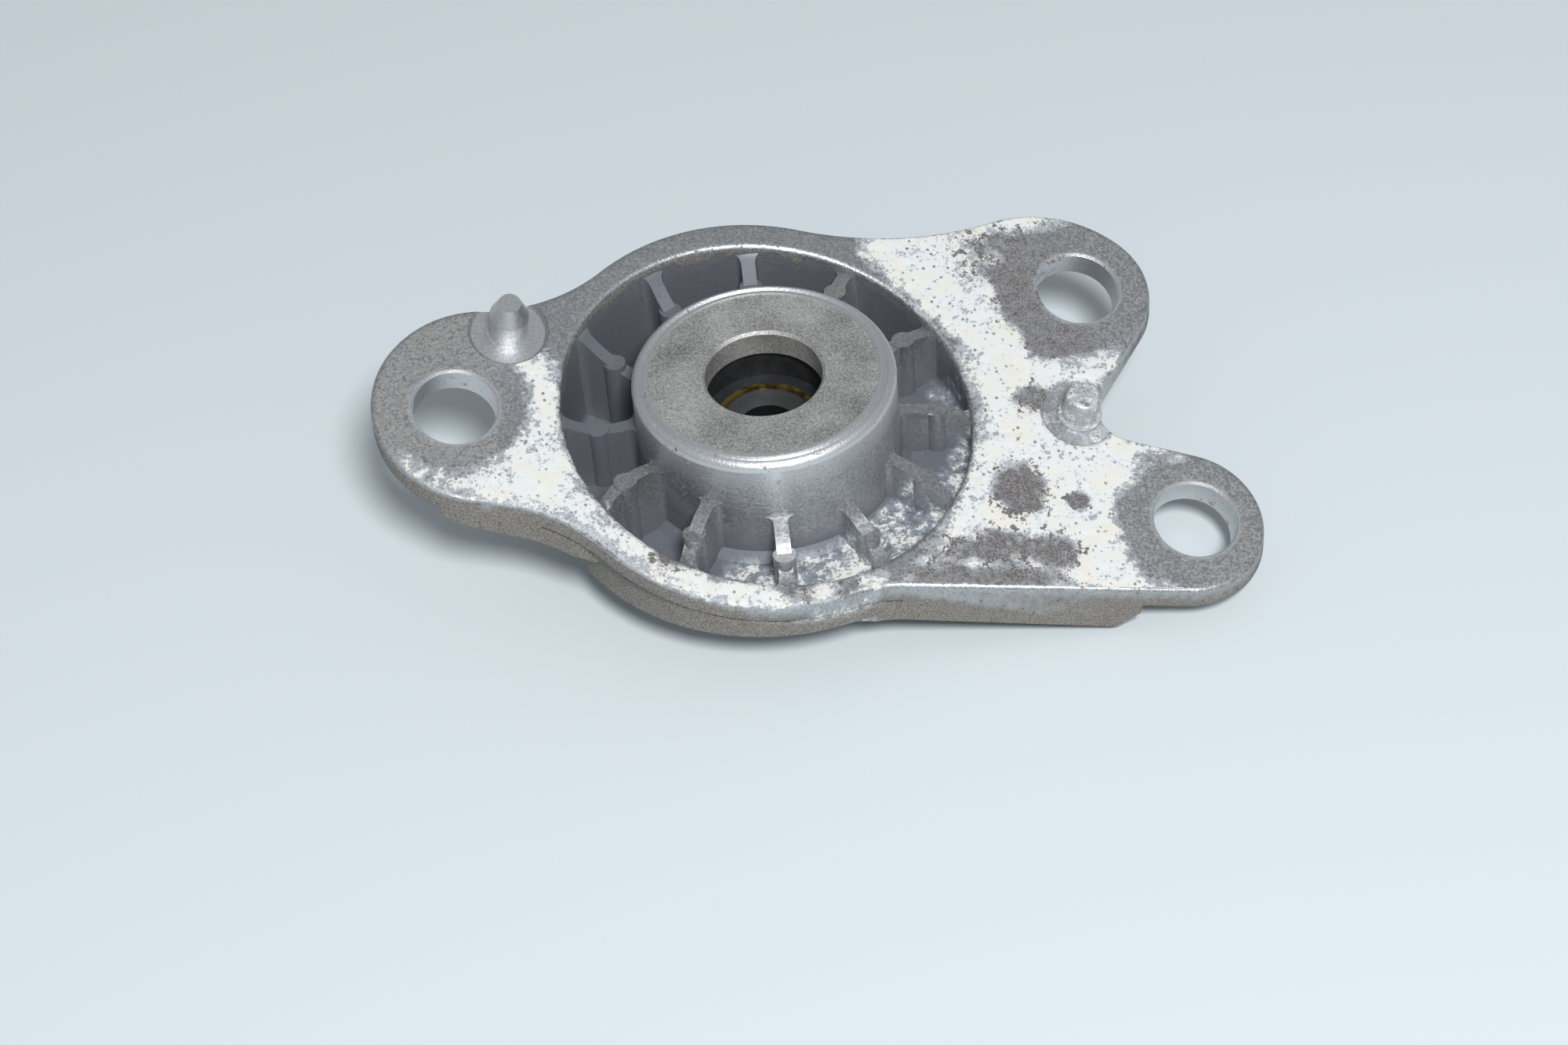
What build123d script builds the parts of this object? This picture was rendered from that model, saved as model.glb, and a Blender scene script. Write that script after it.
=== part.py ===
from build123d import *
import os
from math import acos, atan, cos, degrees, radians, sin, sqrt

# A shock absorber's top mount: a die-cast bracket with a rubber bush rolled into its hub.
# The damper rod's axis is Z. The origin lies on that axis, in the lower face of the foot ring.
# Millimetres and degrees throughout.

# Seat plane, which bolts against the car's body and leans on the rod's axis
seat_height = 26.4
seat_tilt_front = 13.7
seat_tilt_side = 8.3

# Bolt ears, placed in the seat plane from the rod's axis
plate_thickness = 5.0
bolt_hole_radius = 7.0
bolt_hole_chamfer = 0.4
left_bolt = Vector(-51.9, -0.3)
upper_bolt = Vector(55.0, 27.0)
lower_bolt = Vector(71.2, -19.1)
left_ear_radius = 19.0
upper_ear_radius = 13.6
lower_ear_radius = 13.6
left_ear_offset = Vector(4.9, 0.9)
upper_ear_offset = Vector(-1.0, -0.1)
lower_ear_offset = Vector(-2.0, -0.2)
shoulder_radius = 21.6
shoulder_direction = Vector(-5.5, -6.0)

# Round body of the flange and the hollows between it and the ears
body_radius = 38.2
body_centre = Vector(-1.2, 0.9)
left_hollow_radius = 30.8
back_hollow_radius = 59.5
front_hollow_radius = 22.0
notch_radius = 6.4
notch_offset = Vector(9.6, 1.2)
edge_rounding = 0.9
ear_foot_rounding = 1.6

# Stiffening skirt under the flange's edge
skirt_wall = 5.0
skirt_step = 5.3
left_skirt_depth = 7.2
right_skirt_depth_inner = 7.7
right_skirt_depth_outer = 8.7
left_skirt_start = -54.0
left_skirt_full = -43.0
left_skirt_end = -25.0
right_skirt_start = 11.0
right_skirt_full = 17.5
front_skirt_end = 58.0
back_skirt_end = 36.0
skirt_end_length = 3.6
skirt_end_rounding = 2.0

# Cup that holds the ribbed pocket
cup_bottom = 10.8
cup_radius = 36.5
cup_draft = 1.0
cup_ledge_depth = 3.3
relief_gap = 0.1
relief_start_angle = 226.0
relief_arc_size = 36.0
relief_fade_point = Vector(-38.4, -21.4)
groove_depth = 0.8
groove_height = 0.7
groove_left = -38.0
groove_right = 21.0
pocket_floor = 14.8
pocket_half_width = 34.2
pocket_half_depth = 32.2
pocket_centre = Vector(0, 0.6)
pocket_floor_rounding = 1.5
mouth_rounding = 1.0

# Hub and foot ring
hub_radius = 22.4
hub_draft = 1.2
hub_wall_top = 33.7
foot_recess_radius = 18.5
foot_recess_depth = 3.0
web_opening_radius = 14.0
bush_floor = 6.6
bush_radius = 19.0
foot_chamfer = 0.6
# Turns the seam of the round faces away from the ribs and ears
hub_seam_turn = 7.3

# Cover disc and the lip rolled over it
disc_top = 35.6
disc_thickness = 4.75
disc_radius = 20.2
disc_hole_radius = 9.8
disc_edge_chamfer = 1.0
disc_hole_chamfer = 0.5

# Ribs in the pocket, each with a round ejector pad. Levels are depths below the cover disc,
# at the hub and at the pad, for each rib in turn from the right-hand side and anticlockwise.
rib_levels = (
    (11.75, 12.6), (10.5, 9.3), (9.0, 6.1), (8.6, 6.25), (9.0, 6.4), (9.9, 7.5),
    (8.2, 8.9), (8.2, 7.7), (9.2, 11.0), (11.5, 14.2), (13.4, 15.5), (11.75, 14.0),
)
rib_thickness = 2.4
rib_first_angle = 2.0
rib_below_mouth = 1.6
rib_root_rounding = 1.3
rib_fade = 0.15
pad_radius = 1.9
pad_circle_radius = 28.4
pad_rise = 0.15

# Locating pins, square to the seat plane
left_pin = Vector(-43.2, 15.3)
right_pin = Vector(53.3, 1.7)
spotface_radius = 6.2
spotface_depth = 0.8
spotface_flare = 0.7
pin_root_radius = 3.85
pin_root_height = 0.7
left_pin_radius = 3.3
left_pin_straight = 4.6
left_pin_height = 8.0
left_pin_tip_radius = 1.9
right_pin_radius = 3.1
right_pin_height = 5.2
right_pin_dome = 1.2

# Rubber bush, its sleeve and its steel core
well_radius = 10.9
well_depth = 6.0
sleeve_outer_radius = 8.8
sleeve_inner_radius = 8.0
sleeve_rise = 0.6
core_radius = 9.0
core_flange_radius = 14.5
core_flange_thickness = 4.0
core_bottom = 3.2
core_top = 24.3
core_seat_radius = 7.8
core_seat_depth = 1.0
rod_bore_radius = 5.0

# Planes and directions that follow from the sizes above
seat_x = Vector(cos(radians(seat_tilt_side)), 0, -sin(radians(seat_tilt_side)))
seat_normal = Vector(
    sin(radians(seat_tilt_side)) * cos(radians(seat_tilt_front)),
    -sin(radians(seat_tilt_front)),
    cos(radians(seat_tilt_side)) * cos(radians(seat_tilt_front)),
)
seat = Plane(origin=(0, 0, seat_height), x_dir=seat_x, z_dir=seat_normal)
seat_axis = Axis(seat.origin, seat.z_dir)
draw_direction = (0, 0, -1)
reach = 100.0


def drawn(depth):
    """Length along the draw direction that goes a given depth below the seat plane."""
    return depth / seat_normal.Z


def seat_below(depth):
    """Plane beside the seat plane, with its origin still on the rod's axis."""
    return Plane(origin=(0, 0, seat_height - drawn(depth)), x_dir=seat_x, z_dir=seat_normal)


def tangent_centre(first, first_gap, second, second_gap, side):
    """Centre at given distances from two other centres, left (1) or right (-1) of their line."""
    line = second - first
    along = (first_gap**2 - second_gap**2 + line.length**2) / (2 * line.length)
    aside = sqrt(first_gap**2 - along**2)
    step = line.normalized()
    return first + step * along + Vector(-step.Y, step.X) * (aside * side)


def toward(centre, radius, other):
    """Point on a circle, in the direction of another point."""
    return centre + (other - centre).normalized() * radius


def crossing_line(first, first_radius, second, second_radius, side):
    """Touch points of the line that passes between two circles."""
    line = second - first
    turn = degrees(acos((first_radius + second_radius) / line.length))
    normal = line.normalized().rotate(Axis.Z, side * turn)
    return first + normal * first_radius, second - normal * second_radius


def short_arc(start, centre, end):
    """Arc about a centre, the short way from start to end."""
    radius = (start - centre).length
    middle = ((start - centre).normalized() + (end - centre).normalized()).normalized()
    return ThreePointArc(start, centre + middle * radius, end)


# Circle centres of the flange's outline
left_ear = left_bolt + left_ear_offset
upper_ear = upper_bolt + upper_ear_offset
lower_ear = lower_bolt + lower_ear_offset
notch = right_pin + notch_offset
shoulder = toward(upper_ear, shoulder_radius - upper_ear_radius, upper_ear + shoulder_direction)
left_hollow_gaps = (left_ear_radius + left_hollow_radius, body_radius + left_hollow_radius)
left_back_hollow = tangent_centre(left_ear, left_hollow_gaps[0], body_centre, left_hollow_gaps[1], 1)
left_front_hollow = tangent_centre(left_ear, left_hollow_gaps[0], body_centre, left_hollow_gaps[1], -1)
back_hollow = tangent_centre(
    body_centre, body_radius + back_hollow_radius, shoulder, shoulder_radius + back_hollow_radius, 1
)
front_edge = lower_ear.Y - lower_ear_radius
front_hollow_drop = body_centre.Y - front_edge + front_hollow_radius
front_hollow = Vector(
    body_centre.X + sqrt((body_radius + front_hollow_radius) ** 2 - front_hollow_drop**2),
    front_edge - front_hollow_radius,
)
upper_line = crossing_line(upper_ear, upper_ear_radius, notch, notch_radius, 1)
lower_line = crossing_line(notch, notch_radius, lower_ear, lower_ear_radius, -1)

with BuildSketch(seat) as outline:
    with BuildLine():
        body_left_back = toward(body_centre, body_radius, left_back_hollow)
        body_left_front = toward(body_centre, body_radius, left_front_hollow)
        body_right_back = toward(body_centre, body_radius, back_hollow)
        body_right_front = toward(body_centre, body_radius, front_hollow)
        ear_back = toward(left_ear, left_ear_radius, left_back_hollow)
        ear_front = toward(left_ear, left_ear_radius, left_front_hollow)
        shoulder_back = toward(shoulder, shoulder_radius, back_hollow)
        shoulder_end = toward(shoulder, shoulder_radius, upper_ear)
        front_line_start = Vector(front_hollow.X, front_edge)
        front_line_end = Vector(lower_ear.X, front_edge)
        short_arc(ear_front, left_ear, ear_back)
        short_arc(ear_back, left_back_hollow, body_left_back)
        short_arc(body_left_back, body_centre, body_right_back)
        short_arc(body_right_back, back_hollow, shoulder_back)
        short_arc(shoulder_back, shoulder, shoulder_end)
        short_arc(shoulder_end, upper_ear, upper_line[0])
        Line(upper_line[0], upper_line[1])
        short_arc(upper_line[1], notch, lower_line[0])
        Line(lower_line[0], lower_line[1])
        short_arc(lower_line[1], lower_ear, front_line_end)
        Line(front_line_end, front_line_start)
        short_arc(front_line_start, front_hollow, body_right_front)
        short_arc(body_right_front, body_centre, body_left_front)
        short_arc(body_left_front, left_front_hollow, ear_front)
    make_face()



# Flange plate. The walls follow the draw direction, which is the rod's axis.
with BuildPart() as plate:
    extrude(outline.sketch, amount=drawn(plate_thickness), dir=draw_direction)
    plate_faces = plate.faces().sort_by(seat_axis)
    fillet(plate_faces[-1].edges(), edge_rounding)
    fillet(plate.faces().sort_by(seat_axis)[0].edges(), ear_foot_rounding)

# Edge skirt under the plate, one wall thick, with a shape for the front and one for the back
skirt_root = plate_thickness - ear_foot_rounding - 0.4
deepest = right_skirt_depth_outer + 1.0
skirt_face = Plane(origin=seat.origin, x_dir=seat_x, z_dir=-seat.y_dir)
with BuildPart() as skirt:
    with BuildSketch(seat_below(edge_rounding + 0.4)):
        add(outline.sketch_local)
    extrude(amount=drawn(deepest), dir=draw_direction)
    with BuildSketch(seat):
        add(outline.sketch_local)
        offset(amount=-skirt_wall, mode=Mode.REPLACE)
    extrude(amount=drawn(2 * deepest), dir=draw_direction, mode=Mode.SUBTRACT)
    for front, skirt_end in ((True, front_skirt_end), (False, back_skirt_end)):
        with BuildSketch(skirt_face) as below_skirt:
            with BuildLine():
                Polyline(
                    (-reach, skirt_root),
                    (left_skirt_start, skirt_root),
                    (left_skirt_start, -skirt_step),
                    (left_skirt_full, -left_skirt_depth),
                    (left_skirt_end - skirt_end_length, -left_skirt_depth),
                    (left_skirt_end, -skirt_root),
                    (left_skirt_end, skirt_root),
                    (right_skirt_start - skirt_end_length, skirt_root),
                    (right_skirt_start - skirt_end_length, -skirt_root),
                    (right_skirt_start, -skirt_step),
                    (right_skirt_full, -right_skirt_depth_inner),
                    (skirt_end, -right_skirt_depth_outer),
                    (skirt_end + skirt_end_length, -skirt_step),
                    (skirt_end + skirt_end_length, skirt_root),
                    (reach, skirt_root),
                    (reach, -2 * deepest),
                    (-reach, -2 * deepest),
                    close=True,
                )
            make_face()
            corners = below_skirt.vertices().filter_by_position(Axis.X, skirt_end - 1, skirt_end + 1)
            fillet(corners, skirt_end_rounding)
        extrude(amount=reach if front else -reach, mode=Mode.SUBTRACT)

# Relief under the flange's upper band, where the cup's round wall comes through below it
with BuildPart() as relief:
    with BuildSketch(Plane.XY):
        with BuildLine():
            round_wall = CenterArc((0, 0), cup_radius + relief_gap, relief_start_angle, relief_arc_size)
            blend = TangentArc(round_wall @ 0, relief_fade_point, tangent=(round_wall % 0) * -1)
            Polyline(
                relief_fade_point,
                relief_fade_point * 1.5,
                (relief_fade_point.X, -2 * cup_radius),
                ((round_wall @ 1).X, -2 * cup_radius),
                round_wall @ 1,
            )
        make_face()
    extrude(amount=reach)
    split(bisect_by=seat_below(cup_ledge_depth), keep=Keep.BOTTOM)

# Groove between the upper band and the cup's wall
with BuildPart() as groove:
    with BuildSketch(seat_below(cup_ledge_depth)):
        with Locations(((groove_left + groove_right) / 2, -cup_radius)):
            Rectangle(groove_right - groove_left, cup_radius)
        with BuildSketch(mode=Mode.PRIVATE) as groove_floor:
            add(outline.sketch_local)
            offset(amount=-groove_depth, mode=Mode.REPLACE)
        add(groove_floor.sketch, mode=Mode.SUBTRACT)
    extrude(amount=drawn(groove_height), dir=draw_direction)

# Cup: the round wall and floor of the pocket, cut off under the flange's upper band
with BuildPart() as cup:
    with BuildSketch(Plane.XY.offset(cup_bottom)):
        Circle(cup_radius)
    extrude(amount=2 * seat_height, taper=-cup_draft)
    split(bisect_by=seat_below(cup_ledge_depth), keep=Keep.BOTTOM)

# Hub: its wall, bush bore, web, foot ring and the lip rolled over the cover disc
hub_top_radius = hub_radius - (hub_wall_top - pocket_floor) * sin(radians(hub_draft))
disc_seat = disc_top - disc_thickness
lip_inner = disc_radius - disc_edge_chamfer
with BuildPart() as hub:
    with BuildSketch(Plane.XZ):
        with BuildLine():
            wall = Polyline(
                (disc_radius, disc_top - disc_edge_chamfer),
                (disc_radius, disc_seat),
                (bush_radius, disc_seat),
                (bush_radius, bush_floor),
                (web_opening_radius, bush_floor),
                (web_opening_radius, foot_recess_depth),
                (foot_recess_radius, foot_recess_depth),
                (foot_recess_radius, 0),
                (hub_radius - foot_chamfer, 0),
                (hub_radius, foot_chamfer),
                (hub_radius, pocket_floor),
                (hub_radius + pocket_floor_rounding, pocket_floor),
                (hub_radius, pocket_floor + pocket_floor_rounding),
                (hub_top_radius, hub_wall_top),
            )
            roll = ThreePointArc(
                wall @ 1, (hub_top_radius - 0.2, disc_top - 0.5), (hub_top_radius - 1.2, disc_top + 0.15)
            )
            lip_groove = Line(roll @ 1, (lip_inner + 1.0, disc_top - 0.25))
            Polyline(
                lip_groove @ 1,
                (lip_inner + 0.7, disc_top + 0.25),
                (lip_inner + 0.15, disc_top + 0.3),
                (lip_inner, disc_top),
                wall @ 0,
            )
        make_face()
    revolve(axis=Axis.Z)

# Pocket: the round core that the die leaves in the cup
with BuildPart() as pocket:
    with BuildSketch(Plane.XY.offset(pocket_floor)):
        with Locations(pocket_centre):
            Ellipse(pocket_half_width, pocket_half_depth)
    extrude(amount=reach)
    fillet(pocket.faces().sort_by(Axis.Z)[0].edges(), pocket_floor_rounding)

# Ribs from the hub to the cup's wall. Each has its own sagging top, and flares into both walls.
rib_count = len(rib_levels)
rib_mid_radius = (hub_radius + pocket_half_width) / 2
rib_bite = 1.5
with BuildPart() as rib_sides:
    for number, (hub_level, pad_level) in enumerate(rib_levels):
        outward = Vector(1, 0, 0).rotate(Axis.Z, rib_first_angle + number * 360 / rib_count)
        wall_radius = 1 / sqrt((outward.X / pocket_half_width) ** 2 + (outward.Y / pocket_half_depth) ** 2)
        wall_point = pocket_centre + outward * wall_radius
        mouth_drop = wall_point.X * seat_normal.X + wall_point.Y * seat_normal.Y
        mouth_level = seat_height - mouth_drop / seat_normal.Z
        rib_end = mouth_level - rib_below_mouth
        with BuildSketch(Plane(origin=(0, 0, 0), x_dir=outward, z_dir=outward.cross(Vector(0, 0, 1)))):
            with BuildLine():
                top = ThreePointArc(
                    (hub_top_radius, disc_top - hub_level),
                    (pad_circle_radius, disc_top - pad_level),
                    (wall_point.length, rib_end),
                )
                Polyline(
                    top @ 1,
                    (wall_point.length + rib_bite, rib_end),
                    (wall_point.length + rib_bite, pocket_floor - 1),
                    (hub_radius - rib_bite, pocket_floor - 1),
                    (hub_radius - rib_bite, disc_top - hub_level),
                    top @ 0,
                )
            make_face()
        extrude(amount=rib_thickness / 2 + rib_root_rounding, both=True)
with BuildPart() as ribs:
    with BuildSketch(Plane.XY):
        with Locations(pocket_centre):
            Ellipse(pocket_half_width + 3 * rib_bite, pocket_half_depth + 3 * rib_bite)
            Ellipse(pocket_half_width + rib_fade, pocket_half_depth + rib_fade, mode=Mode.SUBTRACT)
        Circle(hub_radius - rib_fade)
        with PolarLocations(rib_mid_radius, rib_count, start_angle=rib_first_angle):
            Rectangle(pocket_half_width - hub_radius + 2 * rib_bite, rib_thickness)
    extrude(amount=reach)
    roots = ribs.edges().filter_by(Axis.Z).filter_by(
        lambda edge: Vector(edge.center().X, edge.center().Y).length < pocket_half_width + 0.8
    )
    fillet(roots, rib_root_rounding)
    add(rib_sides.part, mode=Mode.INTERSECT)

with BuildPart() as bracket_casting:
    add(plate.part)
    add(skirt.part)
    add(relief.part, mode=Mode.SUBTRACT)
    add(cup.part)
    add(groove.part, mode=Mode.SUBTRACT)
    add(pocket.part, mode=Mode.SUBTRACT)
    mouth = bracket_casting.faces().sort_by(seat_axis)[-1].inner_wires()[0]
    fillet(mouth.edges(), mouth_rounding)
    with BuildSketch(Plane.XY):
        Circle(bush_radius)
    extrude(amount=pocket_floor, mode=Mode.SUBTRACT)
    add(hub.part.rotate(Axis.Z, hub_seam_turn))
    add(ribs.part)
    # Ejector pads on the ribs
    for number, (hub_level, pad_level) in enumerate(rib_levels):
        pad_angle = rib_first_angle + number * 360 / rib_count
        with BuildSketch(Plane.XY.offset(pocket_floor - 1)):
            with PolarLocations(pad_circle_radius, 1, start_angle=pad_angle):
                Circle(pad_radius)
        extrude(amount=disc_top - pad_level + pad_rise - pocket_floor + 1)
    # Bolt holes and the pins' spotfaces, machined square to the seat plane
    with BuildSketch(seat):
        with Locations(left_bolt, upper_bolt, lower_bolt):
            Circle(bolt_hole_radius)
    extrude(amount=-2 * plate_thickness, mode=Mode.SUBTRACT)
    hole_edges = bracket_casting.edges().filter_by(GeomType.CIRCLE).filter_by(
        lambda edge: abs(edge.radius - bolt_hole_radius) < 0.01
        and abs(seat.to_local_coords(edge.center()).Z) < 0.01
    )
    chamfer(hole_edges, bolt_hole_chamfer)
    with BuildSketch(seat.offset(-spotface_depth)):
        with Locations(left_pin, right_pin):
            Circle(spotface_radius)
    extrude(amount=spotface_depth, taper=-degrees(atan(spotface_flare / spotface_depth)), mode=Mode.SUBTRACT)
    # Locating pins
    with BuildSketch(seat.offset(-plate_thickness / 2)):
        with Locations(left_pin, right_pin):
            Circle(pin_root_radius)
    extrude(amount=plate_thickness / 2 - spotface_depth + pin_root_height)
    with BuildSketch(seat.offset(-plate_thickness / 2)):
        with Locations(left_pin):
            Circle(left_pin_radius)
    extrude(amount=plate_thickness / 2 + left_pin_straight)
    with BuildSketch(seat.offset(left_pin_straight)):
        with Locations(left_pin):
            Circle(left_pin_radius)
    with BuildSketch(seat.offset(left_pin_height)):
        with Locations(left_pin):
            Circle(left_pin_tip_radius)
    loft()
    with BuildSketch(seat.offset(-plate_thickness / 2)):
        with Locations(right_pin):
            Circle(right_pin_radius)
    extrude(amount=plate_thickness / 2 + right_pin_height)
    right_pin_top = bracket_casting.edges().filter_by(GeomType.CIRCLE).filter_by(
        lambda edge: abs(seat.to_local_coords(edge.center()).Z - right_pin_height) < 0.01
    )
    fillet(right_pin_top, right_pin_dome)

# Cover disc under the rolled lip
with BuildPart() as cover_disc:
    with BuildSketch(Plane.XY.offset(disc_seat)):
        Circle(disc_radius)
        Circle(disc_hole_radius, mode=Mode.SUBTRACT)
    extrude(amount=disc_thickness)
    top_edges = cover_disc.faces().sort_by(Axis.Z)[-1].edges().sort_by(SortBy.RADIUS)
    chamfer(top_edges[0], disc_hole_chamfer)
    chamfer(top_edges[-1], disc_edge_chamfer)

# Steel core that the damper rod is bolted to
core_flange_middle = (bush_floor + core_top) / 2
sleeve_top = core_top + sleeve_rise
with BuildPart() as steel_core:
    with BuildSketch(Plane.XZ):
        with BuildLine():
            Polyline(
                (rod_bore_radius, core_bottom),
                (core_radius, core_bottom),
                (core_radius, core_flange_middle - core_flange_thickness / 2),
                (core_flange_radius, core_flange_middle - core_flange_thickness / 2),
                (core_flange_radius, core_flange_middle + core_flange_thickness / 2),
                (sleeve_inner_radius, core_flange_middle + core_flange_thickness / 2),
                (sleeve_inner_radius, core_top),
                (core_seat_radius, core_top),
                (rod_bore_radius, core_top - core_seat_depth),
                close=True,
            )
        make_face()
    revolve(axis=Axis.Z)

with BuildPart() as inner_sleeve:
    with BuildSketch(Plane.XZ):
        with BuildLine():
            Polyline(
                (sleeve_inner_radius, core_flange_middle + core_flange_thickness / 2),
                (sleeve_outer_radius, core_flange_middle + core_flange_thickness / 2),
                (sleeve_outer_radius, sleeve_top),
                (sleeve_inner_radius, sleeve_top),
                close=True,
            )
        make_face()
    revolve(axis=Axis.Z)

# Rubber bush, bonded round the core and the sleeve
well_floor = disc_seat - well_depth
with BuildPart() as rubber_bush:
    with BuildSketch(Plane.XZ):
        with BuildLine():
            Polyline(
                (bush_radius, bush_floor),
                (bush_radius, disc_seat),
                (well_radius, disc_seat),
                (well_radius, well_floor),
                (sleeve_outer_radius, well_floor - 0.3),
                (sleeve_outer_radius, core_flange_middle + core_flange_thickness / 2),
                (core_flange_radius, core_flange_middle + core_flange_thickness / 2),
                (core_flange_radius, core_flange_middle - core_flange_thickness / 2),
                (core_radius, core_flange_middle - core_flange_thickness / 2),
                (core_radius, bush_floor),
                close=True,
            )
        make_face()
    revolve(axis=Axis.Z)

os.makedirs("parts", exist_ok=True)
bracket_casting.part.label = "bracket_casting"
cover_disc.part.label = "cover_disc"
rubber_bush.part.label = "rubber_bush"
inner_sleeve.part.label = "inner_sleeve"
steel_core.part.label = "steel_core"
export_step(bracket_casting.part, "parts/bracket_casting.step")
export_step(cover_disc.part, "parts/cover_disc.step")
export_step(rubber_bush.part, "parts/rubber_bush.step")
export_step(inner_sleeve.part, "parts/inner_sleeve.step")
export_step(steel_core.part, "parts/steel_core.step")
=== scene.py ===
import math

import bmesh
import bpy
from mathutils import Matrix, Vector, geometry, noise


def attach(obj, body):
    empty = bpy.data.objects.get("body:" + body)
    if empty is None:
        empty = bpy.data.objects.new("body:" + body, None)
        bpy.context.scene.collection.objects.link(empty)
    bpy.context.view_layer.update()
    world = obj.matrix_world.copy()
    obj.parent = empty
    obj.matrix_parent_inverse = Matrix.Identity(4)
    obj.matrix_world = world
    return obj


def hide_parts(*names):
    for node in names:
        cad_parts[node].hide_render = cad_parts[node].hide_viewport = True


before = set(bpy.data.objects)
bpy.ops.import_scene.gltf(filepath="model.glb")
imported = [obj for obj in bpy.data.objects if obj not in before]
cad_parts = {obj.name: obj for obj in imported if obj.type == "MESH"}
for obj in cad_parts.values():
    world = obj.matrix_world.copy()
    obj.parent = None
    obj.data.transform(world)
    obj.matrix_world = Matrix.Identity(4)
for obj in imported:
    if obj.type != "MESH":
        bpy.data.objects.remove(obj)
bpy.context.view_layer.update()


# Bracket casting
# The body of the mount: one aluminium pressure die casting with ears, ribbed pocket and hub.
# Its skin is grey and slightly sandy. Road salt has left thick white aluminium hydroxide on the
# right-hand half, along the front rim and beside the pocket. The sides carry brown dirt.
SEAT_HEIGHT = 0.0264
SEAT_NORMAL = Vector((0.14025, -0.23684, 0.96137)).normalized()
SEAT_LEAN_SIDE = math.radians(8.3)
SEAT_X = Vector((math.cos(SEAT_LEAN_SIDE), 0, -math.sin(SEAT_LEAN_SIDE)))
SEAT_Y = SEAT_NORMAL.cross(SEAT_X)

# Outlines of the crusted areas and of the bare areas in them, in millimetres on the seat face
CRUSTED = (
    ((17, 39), (24, 39), (38, 42), (48, 45), (54, 41), (46, 37), (43, 30), (42, 22), (47, 14),
     (56, 13), (66, 17), (63, 12), (57, 4), (60, -3), (68, -5), (74, -9), (66, -9), (60, -14),
     (58, -21), (61, -28), (67, -32), (60, -34), (44, -32), (32, -31), (22, -31), (26, -24),
     (31, -16), (35, -6), (36, 2), (34, 12), (29, 20), (22, 28), (18, 33)),
    ((-43, 10), (-36, 11), (-34, 4), (-34, -6), (-30, -15), (-26, -20), (-19, -26), (-10, -31),
     (0, -33), (10, -32), (18, -31), (17, -33), (8, -36), (-3, -38), (-12, -36), (-20, -32),
     (-26, -27), (-33, -22), (-42, -19), (-51, -17), (-58, -14), (-61, -9), (-52, -10),
     (-45, -9), (-42, -3), (-41, 4)),
)
BARE_SPOTS = (
    (42, 33, 8, 7, 0.3), (45, 25, 5, 7, 0.3), (35, 38, 4, 2.5, 0.2), (50, 16, 5.5, 3.5, 0.36),
    (46, 4, 4.5, 3, 0.5), (42, -14, 4.6, 5.2, 0.6), (51.5, -16, 2, 1.8, 0.6), (38, -25, 6, 4, 0.42),
    (47, -26, 4.5, 4, 0.44), (30, -26, 4, 3.5, 0.3), (40, -30.5, 9, 1.8, 0.4), (28, -30, 6, 1.6, 0.34),
    (-52, -12, 5, 2.5, 0.24), (-44, 1, 2.5, 5, 0.22), (-17, -29, 4, 2.2, 0.3), (4, -34, 3, 2.5, 0.3),
    (13, -33.5, 3, 1.6, 0.3), (31, 16, 3, 3, 0.25), (64, -8, 4, 2.4, 0.2), (60, 22, 5, 3, 0.2),
)
CLEAN_RINGS = ((-51.9, -0.3, 9.4), (55.0, 27.0, 9.0), (71.2, -19.1, 9.2))
SPOTFACES = ((-43.2, 15.3), (53.3, 1.7))
SPOTFACE_REACH = 6.6
HOLES = ((-51.9, -0.3), (55.0, 27.0), (71.2, -19.1))
HOLE_REACH = 7.7
PIN_REACH = 4.3
SPOTFACE_DEPTH = 0.35

# The crust on the flange: how softly it ends, how thick it is and what the other faces keep of it
CRUST_EDGE = (-3.5, 3.5)
CRUST_SHARE = 0.80
BARE_EDGE = (0.5, 1.35)
RING_INSIDE = 1.8
RING_OUTSIDE = 6.0
SIDE_DEPTH = 1.0
SIDE_SHARE = 0.25
SIDE_CRUST_ENDS = 3.0
ROUNDING = (0.05, 0.9)
ROUNDING_LOSS = 0.4
RIGHT_SPOTFACE_SHARE = 0.62

# The crust in the pocket: angles about the rod's axis in degrees, reaches in millimetres,
# and the heights at which it ends on the hub's wall in metres
POCKET_REACH = 35.9
POCKET_DEPTH = 1.3
HUB_REACH = 27
HUB_ABOVE_SEAT = 0.5
FRONT_COMES = (236, 268)
FRONT_GOES = (335, 358)
FRONT_RADIUS = (21.0, 25.0)
FRONT_SHARE = 0.52
RIGHT_COMES = (335, 352)
RIGHT_GOES = (18, 42)
RIGHT_RADIUS = (27.5, 33)
RIGHT_SHARE = 0.40
UPRIGHT_FROM = 0.5
UPRIGHT_SHARE = 0.8
HUB_WALL_RADIUS = 26
HUB_WALL_ENDS = (0.019, 0.0245)

# The dark scars, the dirt, the bright turned faces and the painted shade in the pocket. Values under 0.1
# with four digits are places in metres, the other reaches and depths are millimetres.
SCAR_LEAST = 0.26
SCAR_LIFT = 0.34
SCAR_EDGE = (0.35, 1.8)
SCAR_MOST = 0.95
SCAR_DEPTH = 0.6
POCKET_DIRT = 0.06
POCKET_DIRT_DEPTH = 0.8
POCKET_DIRT_FACING = -0.3
LEFT_EAR_DIRT = 0.36
LEFT_EAR_EDGE = (-50, -38)
RIGHT_EAR_DIRT = 0.24
RIGHT_EAR_EDGE = (44, 56)
SIDE_DIRT = 0.85
SIDE_DIRT_DEPTH = 0.7
SIDE_DIRT_RADIUS = 24
LEFT_PIN_SHINE = 0.6
RIGHT_PIN_SHINE = 0.35
LIP_BOTTOM = 0.0337
LIP_RADIUS = 0.0228
POCKET_EDGE = (0.2, 2.2)
POCKET_HALF_WIDTH = 0.0350
POCKET_HALF_DEPTH = 0.0331
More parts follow.
